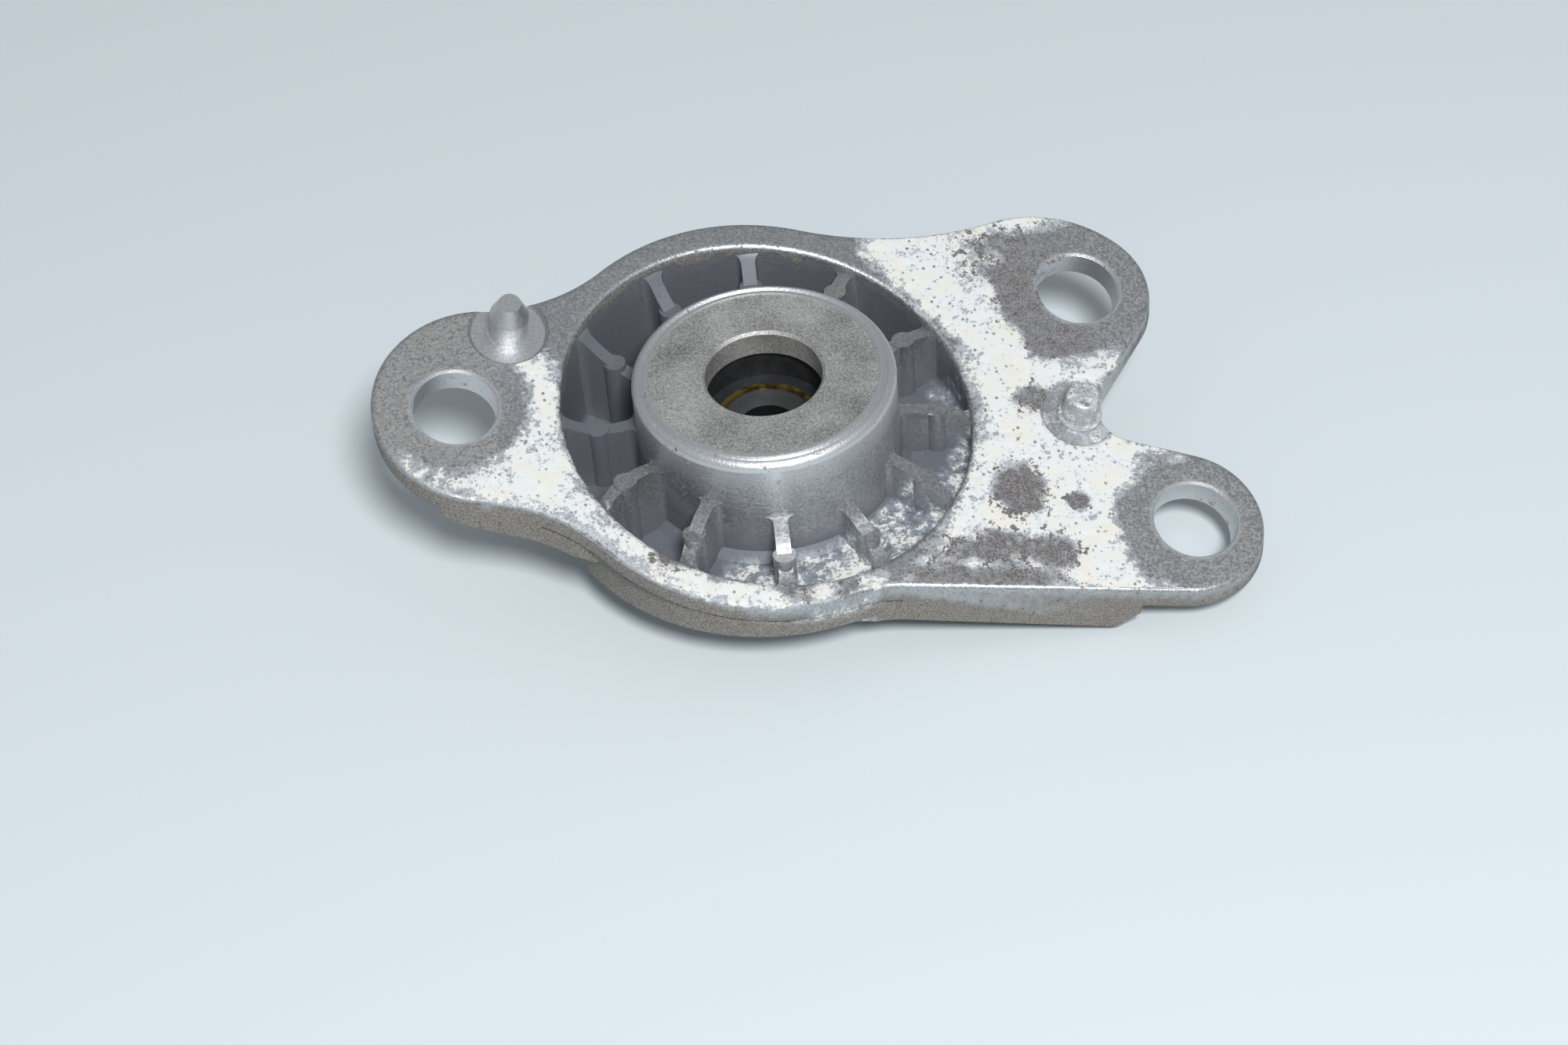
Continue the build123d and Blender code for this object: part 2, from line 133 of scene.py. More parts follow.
POCKET_SHIFT = 0.0006
POCKET_FLOOR_FROM = 0.0145
WALL_ALLOWANCE = 1.01


def linear(hex_colour):
    """The scene-linear colour of an sRGB hex value."""
    channels = [int(hex_colour[k:k + 2], 16) / 255 for k in (1, 3, 5)]
    return [c / 12.92 if c <= 0.04045 else ((c + 0.055) / 1.055) ** 2.4 for c in channels] + [1.0]


def add_node(tree, kind, inputs=None, **settings):
    """A new node with its settings, its input values and the links into it."""
    node = tree.nodes.new(kind)
    for name, value in settings.items():
        setattr(node, name, value)
    for name, value in (inputs or {}).items():
        if isinstance(value, bpy.types.NodeSocket):
            tree.links.new(value, node.inputs[name])
        else:
            node.inputs[name].default_value = value
    return node


def soft_step(low, high, value):
    """From 0 at the low end to 1 at the high end, flat at both."""
    t = min(max((value - low) / (high - low), 0), 1)
    return t * t * (3 - 2 * t)


def inside_depth(outline, u, v):
    """How far the point lies inside the outline in millimetres, negative outside."""
    point = Vector((u, v))
    nearest, crossings = math.inf, 0
    for (au, av), (bu, bv) in zip(outline, outline[1:] + outline[:1]):
        a, b = Vector((au, av)), Vector((bu, bv))
        foot, share = geometry.intersect_point_line(point, a, b)
        foot = a + (b - a) * min(max(share, 0), 1)
        nearest = min(nearest, (foot.to_2d() - point).length)
        if (av > v) != (bv > v) and u < au + (v - av) * (bu - au) / (bv - av):
            crossings += 1
    return nearest if crossings % 2 else -nearest


def seat_place(co):
    """Millimetres along the seat's X and Y and above the seat face."""
    rel = co - Vector((0, 0, SEAT_HEIGHT))
    return rel.dot(SEAT_X) * 1000, rel.dot(SEAT_Y) * 1000, rel.dot(SEAT_NORMAL) * 1000


def nearest_way(places, u, v):
    """Millimetres from the point to the nearest of the places."""
    return min(math.hypot(u - place_u, v - place_v) for place_u, place_v in places)


def spot_way(spot, u, v):
    """How far out the point lies from a bare spot's middle, 1 at the spot's edge."""
    spot_u, spot_v, half_u, half_v, _ = spot
    return math.hypot((u - spot_u) / half_u, (v - spot_v) / half_v)


def pocket_crust(co, normal):
    """The crust down in the pocket and on the hub: at the front, and less of it at the right."""
    radius = co.xy.length * 1000
    angle = math.degrees(math.atan2(co.y, co.x)) % 360
    front = soft_step(*FRONT_COMES, angle) * (1 - soft_step(*FRONT_GOES, angle))
    right = max(soft_step(*RIGHT_COMES, angle), 1 - soft_step(*RIGHT_GOES, angle))
    level = FRONT_SHARE * front * soft_step(*FRONT_RADIUS, radius)
    level += RIGHT_SHARE * right * soft_step(*RIGHT_RADIUS, radius)
    if normal.z < UPRIGHT_FROM:
        level *= UPRIGHT_SHARE
    if radius < HUB_WALL_RADIUS:
        level *= 1 - soft_step(*HUB_WALL_ENDS, co.z)
    return level


def crust_level(co, normal):
    """From 0, clean metal, to 1, thick white crust."""
    u, v, height = seat_place(co)
    radius = co.xy.length * 1000
    in_pocket = radius < POCKET_REACH and height < -POCKET_DEPTH
    if in_pocket or radius < HUB_REACH and height > HUB_ABOVE_SEAT:
        return pocket_crust(co, normal)
    level = soft_step(*CRUST_EDGE, max(inside_depth(outline, u, v) for outline in CRUSTED))
    for spot in BARE_SPOTS:
        level -= spot[-1] * (1 - soft_step(*BARE_EDGE, spot_way(spot, u, v)))
    for ring_u, ring_v, ring_radius in CLEAN_RINGS:
        away = math.hypot(u - ring_u, v - ring_v)
        level *= soft_step(ring_radius - RING_INSIDE, ring_radius + RING_OUTSIDE, away)
    if height < -SIDE_DEPTH:
        level *= SIDE_SHARE * (height > -SIDE_CRUST_ENDS)
    elif height < -ROUNDING[0]:
        level *= 1 - ROUNDING_LOSS * soft_step(*ROUNDING, -height)
    if nearest_way(SPOTFACES, u, v) < SPOTFACE_REACH:
        level *= RIGHT_SPOTFACE_SHARE if u > 0 else 0
    return max(level, 0) * CRUST_SHARE


def scar_level(co):
    """Near 1 in the middle of the spots where the crust has fallen off and left dark metal."""
    u, v, height = seat_place(co)
    level = 0.0
    for spot in BARE_SPOTS:
        if spot[-1] >= SCAR_LEAST:
            share = 1 - soft_step(*SCAR_EDGE, spot_way(spot, u, v))
            level = max(level, (spot[-1] + SCAR_LIFT) * share)
    return min(level, SCAR_MOST) * (height > -SCAR_DEPTH)


def machined_level(co):
    """1 on turned and drilled faces: the holes and the rolled lip, and less on the pins."""
    u, v, height = seat_place(co)
    if nearest_way(HOLES, u, v) < HOLE_REACH:
        return 1.0
    away = nearest_way(SPOTFACES, u, v)
    if away < SPOTFACE_REACH and (away < PIN_REACH or height < -SPOTFACE_DEPTH):
        return LEFT_PIN_SHINE if u < 0 else RIGHT_PIN_SHINE
    return 1.0 if co.z > LIP_BOTTOM and co.xy.length < LIP_RADIUS else 0.0


def grime_level(co, normal):
    """From 0, clean, to 1, covered in brown dirt."""
    u, v, height = seat_place(co)
    radius = co.xy.length * 1000
    if radius < POCKET_REACH and normal.z > POCKET_DIRT_FACING and height < -POCKET_DIRT_DEPTH:
        return POCKET_DIRT
    if machined_level(co) > 0:
        return 0.0
    if height < -SIDE_DIRT_DEPTH and radius > SIDE_DIRT_RADIUS:
        return SIDE_DIRT
    left = LEFT_EAR_DIRT * (1 - soft_step(*LEFT_EAR_EDGE, u))
    return left + RIGHT_EAR_DIRT * soft_step(*RIGHT_EAR_EDGE, u)


def pocket_shade_and_dullness_level(co):
    """1 down in the pocket, 0 on the flange and outside: where the pocket gets painted shade and a duller
    finish.
    """
    height = seat_place(co)[2]
    outward = math.hypot(co.x / POCKET_HALF_WIDTH, (co.y - POCKET_SHIFT) / POCKET_HALF_DEPTH)
    return soft_step(*POCKET_EDGE, -height) * (outward < WALL_ALLOWANCE) * (co.z > POCKET_FLOOR_FROM)


# The fine grid on the flat faces and the lumps that the crust rises in. The grid's step and
# reach and the seat's tolerance are millimetres, the other lengths metres as in the mesh.
GRID_STEP = 1.5
GRID_REACH = (-69, 84, -40, 43)
GRID_EDGE = 0.0009
SEAT_ALIKE = 0.97
LEVEL_ALIKE = 0.995
SEAT_TOLERANCE = 0.05
FLOOR_RADIUS = 0.036
FLOOR_HEIGHTS = (0.0146, 0.0152)
MERGE_DISTANCE = 2e-7
CUT_DISTANCE = 1e-6
SHARP_FROM = math.radians(21)
ATTRIBUTES = ("crust", "scar", "grime", "pocket", "machined")
CRUST_RISE = 0.00022
CRUST_LEAST = 0.2
FLAT_ALIKE = 0.9
LUMPS_PER_METRE = 420
LUMP_SHARE = 0.5
LUMP_EDGE = (0.35, 0.75)
LUMP_ROUGHNESS = 0.8
LUMP_GAP = 2.1
LUMP_OCTAVES = 4

casting_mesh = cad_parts["bracket_casting"].data.copy()
for layer in ("custom_normal", "sharp_edge", "sharp_face"):
    if layer in casting_mesh.attributes:
        casting_mesh.attributes.remove(casting_mesh.attributes[layer])
shape = bmesh.new()
shape.from_mesh(casting_mesh)
bmesh.ops.remove_doubles(shape, verts=shape.verts, dist=MERGE_DISTANCE)


def grid_faces():
    """The flange's top and the pocket's floors, which take a fine grid to carry the crust."""
    chosen = []
    low, high = FLOOR_HEIGHTS
    for face in shape.faces:
        if face.normal.dot(SEAT_NORMAL) < SEAT_ALIKE and face.normal.z < LEVEL_ALIKE:
            continue
        centre = face.calc_center_median()
        on_floor = centre.xy.length < FLOOR_RADIUS and low < centre.z < high
        if on_floor or abs(seat_place(centre)[2]) < SEAT_TOLERANCE:
            chosen.append(face)
    return chosen


def is_crossed(face, cut, axis):
    """True where the plane through the cut runs through the face."""
    sides = [(corner.co - cut).dot(axis) for corner in face.verts]
    return min(sides) < 0 < max(sides)


low_u, high_u, low_v, high_v = GRID_REACH
for axis, low, high in ((SEAT_X, low_u, high_u), (SEAT_Y, low_v, high_v)):
    place = low
    while place <= high:
        cut = Vector((0, 0, SEAT_HEIGHT)) + axis * place / 1000
        faces = [face for face in grid_faces() if is_crossed(face, cut, axis)]
        if faces:
            edges = dict.fromkeys(edge for face in faces for edge in face.edges)
            corners = dict.fromkeys(corner for face in faces for corner in face.verts)
            bmesh.ops.bisect_plane(
                shape, geom=[*faces, *edges, *corners], dist=CUT_DISTANCE, plane_co=cut, plane_no=axis
            )
        place += GRID_STEP
fine = dict.fromkeys(
    edge for face in grid_faces() for edge in face.edges if edge.calc_length() > GRID_EDGE
)
bmesh.ops.subdivide_edges(shape, edges=list(fine), cuts=1, use_grid_fill=True)
bmesh.ops.triangulate(shape, faces=[face for face in shape.faces if len(face.verts) > 4])

levels = {name: shape.verts.layers.float.new(name) for name in ATTRIBUTES}
shape.normal_update()
for corner in shape.verts:
    corner[levels["crust"]] = crust_level(corner.co, corner.normal)
    corner[levels["scar"]] = scar_level(corner.co)
    corner[levels["grime"]] = grime_level(corner.co, corner.normal)
    corner[levels["pocket"]] = pocket_shade_and_dullness_level(corner.co)
    corner[levels["machined"]] = machined_level(corner.co)
for corner in shape.verts:
    crust = corner[levels["crust"]]
    if crust > CRUST_LEAST and all(
        abs(face.normal.dot(SEAT_NORMAL)) > FLAT_ALIKE for face in corner.link_faces
    ):
        lump = noise.fractal(
            corner.co * LUMPS_PER_METRE, LUMP_ROUGHNESS, LUMP_GAP, LUMP_OCTAVES,
            noise_basis="PERLIN_ORIGINAL",
        )
        corner.co += SEAT_NORMAL * CRUST_RISE * soft_step(*LUMP_EDGE, crust + LUMP_SHARE * lump)
shape.to_mesh(casting_mesh)
shape.free()
casting_mesh.polygons.foreach_set("use_smooth", [True] * len(casting_mesh.polygons))
casting_mesh.set_sharp_from_angle(angle=SHARP_FROM)
casting = bpy.data.objects.new("die_cast_bracket", casting_mesh)
bpy.context.scene.collection.objects.link(casting)
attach(casting, "root")
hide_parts("bracket_casting")

# Die-cast aluminium, as cast and unpainted: a metal with a soft, slightly sandy gloss.
# The crust on it is aluminium hydroxide: dull, chalky white with pits, ivory where it is thick.
METAL_GREY = "#C2C4C6"
METAL_DARK = "#9C9EA1"
# Painted shade: the pocket's walls, ribs and floor are drawn in this darker grey, as if in shade
POCKET_PAINTED_SHADE = "#767A82"
MACHINED_BRIGHT = "#D6D8DA"
DIRT_BROWN = "#8C867C"
DIRT_DARK = "#4F4A44"
FILM_BLUE = "#B2BBC3"
CRUST_WHITE = "#DADDDE"
CRUST_IVORY = "#DDDACE"
PIT_GREY = "#6E6D6D"
SCAR_DARK = "#484546"
SCAR_LIGHT = "#868282"


def new_finish(name):
    """An empty material, its node tree and the coordinates that its patterns read."""
    finish = bpy.data.materials.new(name)
    finish.use_nodes = True
    finish.node_tree.nodes.clear()
    place = add_node(finish.node_tree, "ShaderNodeTexCoord").outputs["Object"]
    return finish, finish.node_tree, place


def dress(mesh, finish):
    """Gives the mesh that finish and no other."""
    mesh.materials.clear()
    mesh.materials.append(finish)


cast, tree, coords = new_finish("die_cast_aluminium_salt_corroded")
crust_at = add_node(tree, "ShaderNodeAttribute", attribute_name="crust").outputs["Fac"]
scar_at = add_node(tree, "ShaderNodeAttribute", attribute_name="scar").outputs["Fac"]
grime_at = add_node(tree, "ShaderNodeAttribute", attribute_name="grime").outputs["Fac"]
# The pocket attribute carries painted shade and a duller finish down in the pocket
pocket_shade_and_dullness_at = add_node(tree, "ShaderNodeAttribute", attribute_name="pocket").outputs["Fac"]
machined_at = add_node(tree, "ShaderNodeAttribute", attribute_name="machined").outputs["Fac"]

# Pattern sizes in millimetres, from the photograph. The real sand grain is finer than 0.28 mm
# and is drawn coarser, so that it shows.
PATCH_SIZE = 5.0
BLOTCH_SIZE = 1.6
GRAIN_SIZE = 0.5
SAND_SIZE = 0.28
PIT_SPACING = 1.3


def cells(size_mm):
    """The scale that gives a pattern features of that many millimetres."""
    return 1000 / size_mm


patch = add_node(
    tree, "ShaderNodeTexNoise",
    {"Vector": coords, "Scale": cells(PATCH_SIZE), "Detail": 5.0, "Roughness": 0.62, "Distortion": 0.4},
).outputs["Fac"]
blotch = add_node(
    tree, "ShaderNodeTexNoise",
    {"Vector": coords, "Scale": cells(BLOTCH_SIZE), "Detail": 4.0, "Roughness": 0.65},
).outputs["Fac"]
grain = add_node(
    tree, "ShaderNodeTexNoise",
    {"Vector": coords, "Scale": cells(GRAIN_SIZE), "Detail": 3.0, "Roughness": 0.6},
).outputs["Fac"]
sand = add_node(
    tree, "ShaderNodeTexNoise",
    {"Vector": coords, "Scale": cells(SAND_SIZE), "Detail": 2.0, "Roughness": 0.6},
).outputs["Fac"]

patch_part = add_node(
    tree, "ShaderNodeMath", {0: patch, 1: 1.5, 2: -0.75}, operation="MULTIPLY_ADD"
).outputs[0]
blotch_part = add_node(
    tree, "ShaderNodeMath", {0: blotch, 1: 1.3, 2: -0.65}, operation="MULTIPLY_ADD"
).outputs[0]
grain_part = add_node(
    tree, "ShaderNodeMath", {0: grain, 1: 0.7, 2: -0.35}, operation="MULTIPLY_ADD"
).outputs[0]
breakup = add_node(tree, "ShaderNodeMath", {0: patch_part, 1: blotch_part}, operation="ADD").outputs[0]
breakup = add_node(tree, "ShaderNodeMath", {0: breakup, 1: grain_part}, operation="ADD").outputs[0]
# Where there is no crust at all, the breakup may not make any
reach_of_crust = add_node(
    tree, "ShaderNodeMapRange",
    {"Value": crust_at, "From Min": 0.0, "From Max": 0.3, "To Min": 0.0, "To Max": 1.0},
    interpolation_type="SMOOTHSTEP",
).outputs["Result"]
crust_sum = add_node(tree, "ShaderNodeMath", {0: crust_at, 1: breakup}, operation="ADD").outputs[0]
crust_sum = add_node(
    tree, "ShaderNodeMath", {0: crust_sum, 1: reach_of_crust}, operation="MULTIPLY"
).outputs[0]
crust_mask = add_node(
    tree, "ShaderNodeMapRange",
    {"Value": crust_sum, "From Min": 0.44, "From Max": 0.62, "To Min": 0.0, "To Max": 1.0},
    interpolation_type="SMOOTHSTEP",
).outputs["Result"]
film_mask = add_node(
    tree, "ShaderNodeMapRange",
    {"Value": crust_sum, "From Min": 0.10, "From Max": 0.54, "To Min": 0.0, "To Max": 0.6},
    interpolation_type="SMOOTHSTEP",
).outputs["Result"]

# The metal's own colour: lighter and darker skin, then painted shade down in the pocket, the bright turned
# faces, brown dirt and the bluish film
skin = add_node(
    tree, "ShaderNodeMapRange",
    {"Value": grain, "From Min": 0.35, "From Max": 0.65, "To Min": 0.0, "To Max": 1.0},
).outputs["Result"]
metal_colour = add_node(
    tree, "ShaderNodeMix", {0: skin, 6: linear(METAL_DARK), 7: linear(METAL_GREY)}, data_type="RGBA"
).outputs[2]
# Painted shade: everything down in the pocket is mixed toward a darker grey, as if in shade
pocket_shaded_colour = add_node(
    tree, "ShaderNodeMix", {0: pocket_shade_and_dullness_at, 6: metal_colour, 7: linear(POCKET_PAINTED_SHADE)}, data_type="RGBA"
).outputs[2]
bright_colour = add_node(
    tree, "ShaderNodeMix",
    {0: machined_at, 6: pocket_shaded_colour, 7: linear(MACHINED_BRIGHT)}, data_type="RGBA",
).outputs[2]
dirt_sum = add_node(
    tree, "ShaderNodeMath", {0: blotch_part, 1: 0.8, 2: grime_at}, operation="MULTIPLY_ADD"
).outputs[0]
dirt_sum = add_node(
    tree, "ShaderNodeMath", {0: grain_part, 1: 1.6, 2: dirt_sum}, operation="MULTIPLY_ADD"
).outputs[0]
dirt_mask = add_node(
    tree, "ShaderNodeMapRange",
    {"Value": dirt_sum, "From Min": 0.18, "From Max": 0.72, "To Min": 0.0, "To Max": 0.85},
).outputs["Result"]
speck = add_node(
    tree, "ShaderNodeMapRange",
    {"Value": sand, "From Min": 0.38, "From Max": 0.62, "To Min": 0.0, "To Max": 1.0},
).outputs["Result"]
dirt_colour = add_node(
    tree, "ShaderNodeMix", {0: speck, 6: linear(DIRT_DARK), 7: linear(DIRT_BROWN)}, data_type="RGBA"
).outputs[2]
dirty = add_node(
    tree, "ShaderNodeMix", {0: dirt_mask, 6: bright_colour, 7: dirt_colour}, data_type="RGBA"
).outputs[2]
filmed = add_node(
    tree, "ShaderNodeMix", {0: film_mask, 6: dirty, 7: linear(FILM_BLUE)}, data_type="RGBA"
).outputs[2]

# Where the crust has fallen off, the metal is pitted, dark and mottled
scar_sum = add_node(
    tree, "ShaderNodeMath", {0: blotch_part, 1: 2.4, 2: scar_at}, operation="MULTIPLY_ADD"
).outputs[0]
scar_sum = add_node(
    tree, "ShaderNodeMath", {0: grain_part, 1: 2.2, 2: scar_sum}, operation="MULTIPLY_ADD"
).outputs[0]
scar_mask = add_node(
    tree, "ShaderNodeMapRange",
    {"Value": scar_sum, "From Min": 0.34, "From Max": 0.68, "To Min": 0.0, "To Max": 0.95},
).outputs["Result"]
scar_colour = add_node(
    tree, "ShaderNodeMix", {0: speck, 6: linear(SCAR_DARK), 7: linear(SCAR_LIGHT)}, data_type="RGBA"
).outputs[2]
filmed = add_node(
    tree, "ShaderNodeMix", {0: scar_mask, 6: filmed, 7: scar_colour}, data_type="RGBA"
).outputs[2]

# The crust's colour: white to ivory, with small grey pits
ivory = add_node(
    tree, "ShaderNodeMapRange",
    {"Value": patch, "From Min": 0.46, "From Max": 0.66, "To Min": 0.0, "To Max": 0.8},
).outputs["Result"]
crust_colour = add_node(
    tree, "ShaderNodeMix", {0: ivory, 6: linear(CRUST_WHITE), 7: linear(CRUST_IVORY)}, data_type="RGBA"
).outputs[2]
pits = add_node(
    tree, "ShaderNodeTexVoronoi", {"Vector": coords, "Scale": cells(PIT_SPACING), "Randomness": 1.0}
).outputs["Distance"]
pit_mask = add_node(
    tree, "ShaderNodeMapRange",
    {"Value": pits, "From Min": 0.14, "From Max": 0.30, "To Min": 0.9, "To Max": 0.0},
).outputs["Result"]
pit_where = add_node(
    tree, "ShaderNodeMapRange",
    {"Value": blotch, "From Min": 0.45, "From Max": 0.54, "To Min": 0.0, "To Max": 1.0},
).outputs["Result"]
pit_mask = add_node(tree, "ShaderNodeMath", {0: pit_mask, 1: pit_where}, operation="MULTIPLY").outputs[0]
pitted = add_node(
    tree, "ShaderNodeMix", {0: pit_mask, 6: crust_colour, 7: linear(PIT_GREY)}, data_type="RGBA"
).outputs[2]
scar_cut = add_node(
    tree, "ShaderNodeMapRange",
    {"Value": scar_sum, "From Min": 0.55, "From Max": 0.76, "To Min": 1.0, "To Max": 0.0},
).outputs["Result"]
crust_mask = add_node(
    tree, "ShaderNodeMath", {0: crust_mask, 1: scar_cut}, operation="MULTIPLY"
).outputs[0]
surface_colour = add_node(
    tree, "ShaderNodeMix", {0: crust_mask, 6: filmed, 7: pitted}, data_type="RGBA"
).outputs[2]

cover = add_node(tree, "ShaderNodeMath", {0: crust_mask, 1: film_mask}, operation="MAXIMUM").outputs[0]
cover = add_node(tree, "ShaderNodeMath", {0: cover, 1: dirt_mask}, operation="MAXIMUM").outputs[0]
cover = add_node(tree, "ShaderNodeMath", {0: cover, 1: scar_mask}, operation="MAXIMUM").outputs[0]
dull_pocket = add_node(tree, "ShaderNodeMath", {0: pocket_shade_and_dullness_at, 1: 0.5}, operation="MULTIPLY").outputs[0]
cover = add_node(tree, "ShaderNodeMath", {0: cover, 1: dull_pocket}, operation="MAXIMUM").outputs[0]
metallic = add_node(
    tree, "ShaderNodeMapRange",
    {"Value": cover, "From Min": 0.0, "From Max": 1.0, "To Min": 0.9, "To Max": 0.0},
).outputs["Result"]
roughness = add_node(
    tree, "ShaderNodeMapRange",
    {"Value": cover, "From Min": 0.0, "From Max": 1.0, "To Min": 0.42, "To Max": 0.9},
).outputs["Result"]
relief = add_node(
    tree, "ShaderNodeMath", {0: crust_mask, 1: 1.2, 2: grain}, operation="MULTIPLY_ADD"
).outputs[0]
relief = add_node(
    tree, "ShaderNodeMath", {0: sand, 1: 0.5, 2: relief}, operation="MULTIPLY_ADD"
).outputs[0]
bump = add_node(
    tree, "ShaderNodeBump", {"Height": relief, "Strength": 0.55, "Distance": 0.00012}
).outputs["Normal"]
shader = add_node(
    tree, "ShaderNodeBsdfPrincipled",
    {"Base Color": surface_colour, "Metallic": metallic, "Roughness": roughness, "Normal": bump},
)
add_node(tree, "ShaderNodeOutputMaterial", {"Surface": shader.outputs["BSDF"]})
dress(casting_mesh, cast)


# Cover disc
# A pressed steel washer that closes the hub. The hub's lip is rolled over its edge.
# Its face is phosphated, so it is dull, grey and grainy, with faint lighter and darker clouds.
DISC_GREY = "#CFCFCD"
DISC_DARK = "#7A7A78"
DISC_GRAIN = 0.35
DISC_CLOUD = 9.0

disc_finish, tree, coords = new_finish("phosphated_steel_grainy")
disc_noise = add_node(
    tree, "ShaderNodeTexNoise",
    {"Vector": coords, "Scale": cells(DISC_GRAIN), "Detail": 3.0, "Roughness": 0.7},
).outputs["Fac"]
disc_clouds = add_node(
    tree, "ShaderNodeTexNoise", {"Vector": coords, "Scale": cells(DISC_CLOUD), "Detail": 3.0}
).outputs["Fac"]
disc_mix = add_node(
    tree, "ShaderNodeMath", {0: disc_clouds, 1: 0.5, 2: disc_noise}, operation="MULTIPLY_ADD"
).outputs[0]
disc_share = add_node(
    tree, "ShaderNodeMapRange",
    {"Value": disc_mix, "From Min": 0.55, "From Max": 0.95, "To Min": 0.0, "To Max": 1.0},
).outputs["Result"]
disc_colour = add_node(
    tree, "ShaderNodeMix", {0: disc_share, 6: linear(DISC_DARK), 7: linear(DISC_GREY)}, data_type="RGBA"
).outputs[2]
disc_bump = add_node(
    tree, "ShaderNodeBump", {"Height": disc_noise, "Strength": 0.5, "Distance": 0.0001}
).outputs["Normal"]
shader = add_node(
    tree, "ShaderNodeBsdfPrincipled",
    {"Base Color": disc_colour, "Metallic": 0.6, "Roughness": 0.55, "Normal": disc_bump},
)
add_node(tree, "ShaderNodeOutputMaterial", {"Surface": shader.outputs["BSDF"]})
dress(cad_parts["cover_disc"].data, disc_finish)


# Rubber bush
# Natural rubber moulded into the hub and bonded to the steel core. It carries the damper rod.
# Black and matt, with a little grey dust and a faint unevenness from the mould.
RUBBER_BLACK = "#1E1F22"
RUBBER_DUST = "#34363A"
DUST_SIZE = 3.0

rubber, tree, coords = new_finish("natural_rubber_moulded_black")
dust = add_node(
    tree, "ShaderNodeTexNoise",
    {"Vector": coords, "Scale": cells(DUST_SIZE), "Detail": 5.0, "Roughness": 0.7},
).outputs["Fac"]
dust_share = add_node(
    tree, "ShaderNodeMapRange",
    {"Value": dust, "From Min": 0.42, "From Max": 0.7, "To Min": 0.0, "To Max": 0.7},
).outputs["Result"]
rubber_colour = add_node(
    tree, "ShaderNodeMix",
    {0: dust_share, 6: linear(RUBBER_BLACK), 7: linear(RUBBER_DUST)}, data_type="RGBA",
).outputs[2]
rubber_bump = add_node(
    tree, "ShaderNodeBump", {"Height": dust, "Strength": 0.3, "Distance": 0.0002}
).outputs["Normal"]
shader = add_node(
    tree, "ShaderNodeBsdfPrincipled",
    {"Base Color": rubber_colour, "Roughness": 0.55, "Normal": rubber_bump},
)
add_node(tree, "ShaderNodeOutputMaterial", {"Surface": shader.outputs["BSDF"]})
dress(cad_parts["rubber_bush"].data, rubber)


# Inner sleeve
# A thin steel ring that stands in the rubber round the nut's seat.
# It is zinc plated and yellow passivated, so it is a dull gold with brown stains.
SLEEVE_GOLD = "#9A8748"
SLEEVE_BROWN = "#5A4B2C"
STAIN_SIZE = 2.0

sleeve_finish, tree, coords = new_finish("yellow_zinc_plated_steel")
stain = add_node(
    tree, "ShaderNodeTexNoise", {"Vector": coords, "Scale": cells(STAIN_SIZE), "Detail": 4.0}
).outputs["Fac"]
stain_share = add_node(
    tree, "ShaderNodeMapRange",
    {"Value": stain, "From Min": 0.42, "From Max": 0.6, "To Min": 0.0, "To Max": 1.0},
).outputs["Result"]
sleeve_colour = add_node(
    tree, "ShaderNodeMix",
    {0: stain_share, 6: linear(SLEEVE_BROWN), 7: linear(SLEEVE_GOLD)}, data_type="RGBA",
).outputs[2]
shader = add_node(
    tree, "ShaderNodeBsdfPrincipled", {"Base Color": sleeve_colour, "Metallic": 0.85, "Roughness": 0.42}
)
add_node(tree, "ShaderNodeOutputMaterial", {"Surface": shader.outputs["BSDF"]})
dress(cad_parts["inner_sleeve"].data, sleeve_finish)


# Steel core
# The turned steel bushing bonded inside the rubber. The damper rod passes through its bore.
# Its seat is machined, dark with oil, and shows fine turning marks.
CORE_GREY = "#6A6C6E"
CORE_DARK = "#3C3D3F"
TURNING_SIZE = 1.2
OIL_SIZE = 4.0

core_finish, tree, coords = new_finish("turned_steel_oiled")
turning = add_node(
    tree, "ShaderNodeTexWave",
    {"Vector": coords, "Scale": cells(TURNING_SIZE), "Distortion": 0.4, "Detail": 2.0, "Detail Scale": 2.0},
    wave_type="RINGS", rings_direction="Z",
).outputs["Fac"]
oil = add_node(
    tree, "ShaderNodeTexNoise", {"Vector": coords, "Scale": cells(OIL_SIZE), "Detail": 4.0}
).outputs["Fac"]
core_colour = add_node(
    tree, "ShaderNodeMix", {0: oil, 6: linear(CORE_DARK), 7: linear(CORE_GREY)}, data_type="RGBA"
).outputs[2]
core_bump = add_node(
    tree, "ShaderNodeBump", {"Height": turning, "Strength": 0.25, "Distance": 0.00005}
).outputs["Normal"]
shader = add_node(
    tree, "ShaderNodeBsdfPrincipled",
    {"Base Color": core_colour, "Metallic": 0.9, "Roughness": 0.38, "Normal": core_bump},
)
add_node(tree, "ShaderNodeOutputMaterial", {"Surface": shader.outputs["BSDF"]})
dress(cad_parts["steel_core"].data, core_finish)


# Table
# The pale blue-white table top that the mount was laid on, smooth and matt.
# It is only the setting and not part of the object.
TABLE_PALE = "#D5DEE3"
TABLE_SIZE = 3.0

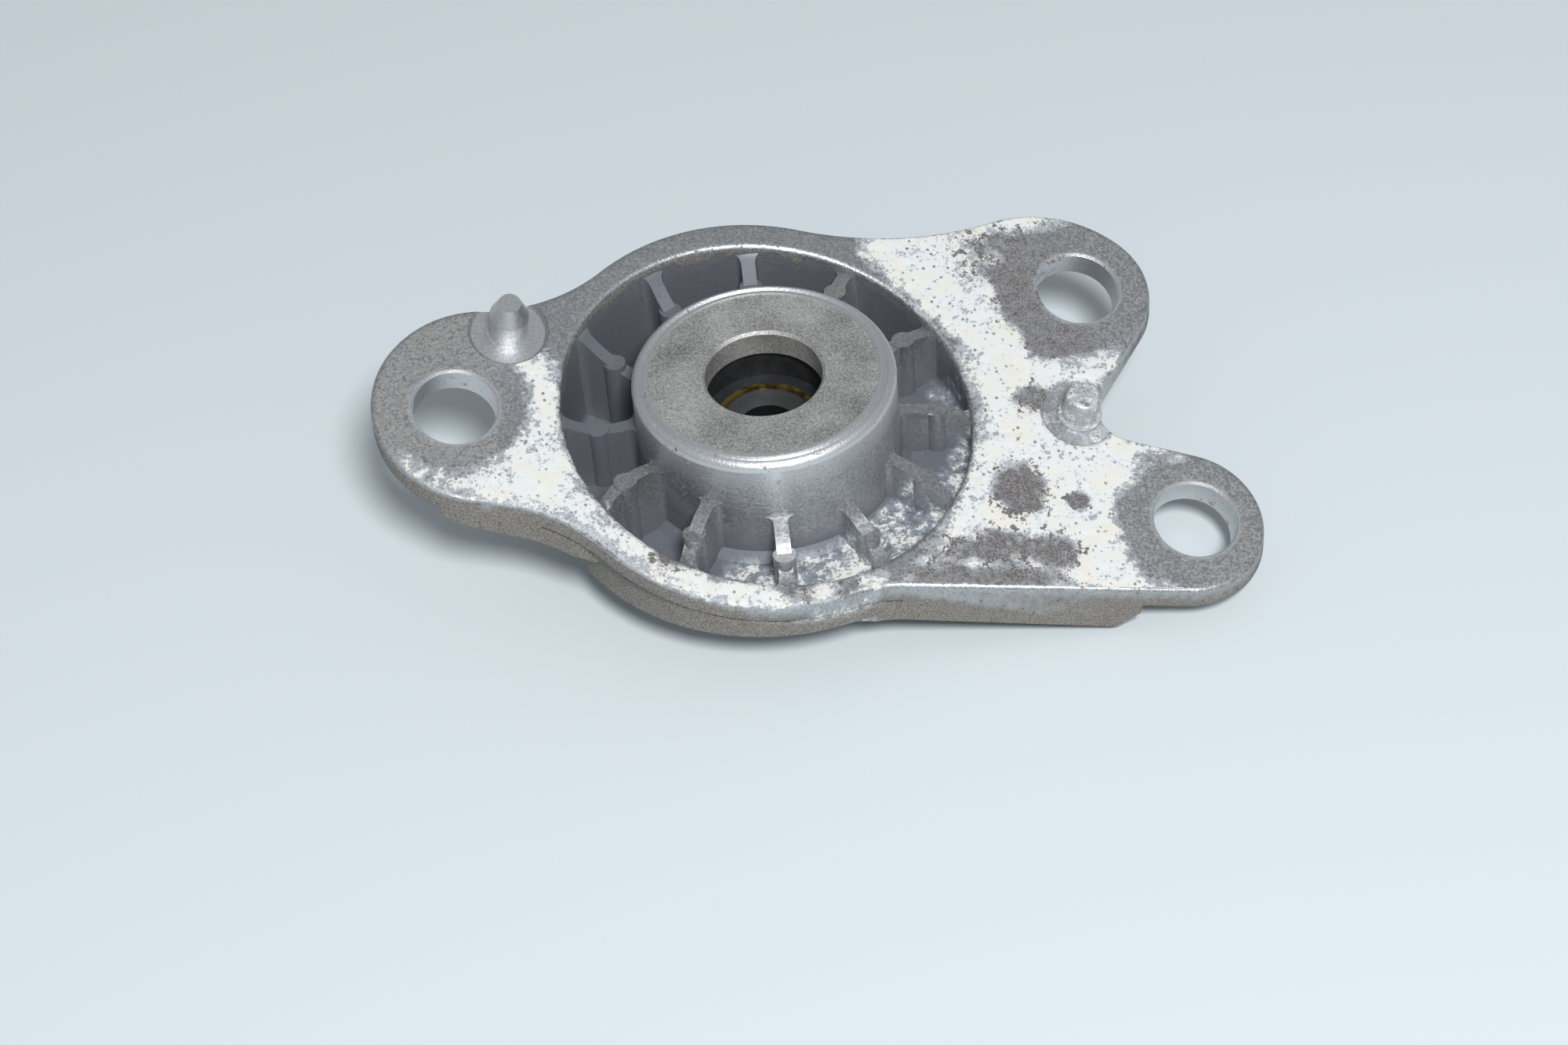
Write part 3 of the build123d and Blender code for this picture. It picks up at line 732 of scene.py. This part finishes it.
table_mesh = bpy.data.meshes.new("table_top")
shape = bmesh.new()
bmesh.ops.create_grid(shape, x_segments=1, y_segments=1, size=TABLE_SIZE / 2)
shape.to_mesh(table_mesh)
shape.free()
table = bpy.data.objects.new("table_top", table_mesh)
bpy.context.scene.collection.objects.link(table)
table_finish = bpy.data.materials.new("matt_laminate_pale_blue")
table_finish.use_nodes = True
tree = table_finish.node_tree
tree.nodes.clear()
shader = add_node(
    tree, "ShaderNodeBsdfPrincipled", {"Base Color": linear(TABLE_PALE), "Roughness": 0.6}
)
add_node(tree, "ShaderNodeOutputMaterial", {"Surface": shader.outputs["BSDF"]})
table_mesh.materials.append(table_finish)


# Light
# One soft lamp in front of and above the mount, where the photograph's light comes from,
# and a pale room round it.
LAMP_FROM = Vector((0.14, -0.66, 0.90))
LAMP_AIM = Vector((0, 0, 0.02))
LAMP_SIZE = 0.24
LAMP_POWER = 11.6
ROOM_PALE = "#E4E9ED"
ROOM_LEVEL = 0.38

lamp_data = bpy.data.lights.new("soft_lamp", "AREA")
lamp_data.shape = "DISK"
lamp_data.size = LAMP_SIZE
lamp_data.energy = LAMP_POWER
lamp = bpy.data.objects.new("soft_lamp", lamp_data)
bpy.context.scene.collection.objects.link(lamp)
lamp.location = LAMP_FROM
lamp.rotation_euler = (LAMP_AIM - LAMP_FROM).to_track_quat("-Z", "Y").to_euler()
room = bpy.data.worlds.new("pale_room")
bpy.context.scene.world = room
room.use_nodes = True
tree = room.node_tree
tree.nodes.clear()
background = add_node(
    tree, "ShaderNodeBackground", {"Color": linear(ROOM_PALE), "Strength": ROOM_LEVEL}
)
add_node(tree, "ShaderNodeOutputWorld", {"Surface": background.outputs["Background"]})
bpy.context.scene.view_settings.view_transform = "Standard"


# Camera
# A short telephoto, 45 degrees above the front of the mount.
CAMERA_PLACE = Vector((-0.00006, -0.41471, 0.42713))
CAMERA_UP = Vector((0.081483, 0.715143, 0.694213))
CAMERA_BACK = Vector((-0.002503, -0.696380, 0.717669))
CAMERA_LENS = 79.09
CAMERA_SENSOR = 36.0

camera_data = bpy.data.cameras.new("camera")
camera_data.lens = CAMERA_LENS
camera_data.sensor_width = CAMERA_SENSOR
camera = bpy.data.objects.new("camera", camera_data)
bpy.context.scene.collection.objects.link(camera)
back = CAMERA_BACK.normalized()
right = CAMERA_UP.cross(back).normalized()
turn = Matrix((right, back.cross(right), back)).transposed().to_4x4()
camera.matrix_world = Matrix.Translation(CAMERA_PLACE) @ turn
bpy.context.scene.camera = camera
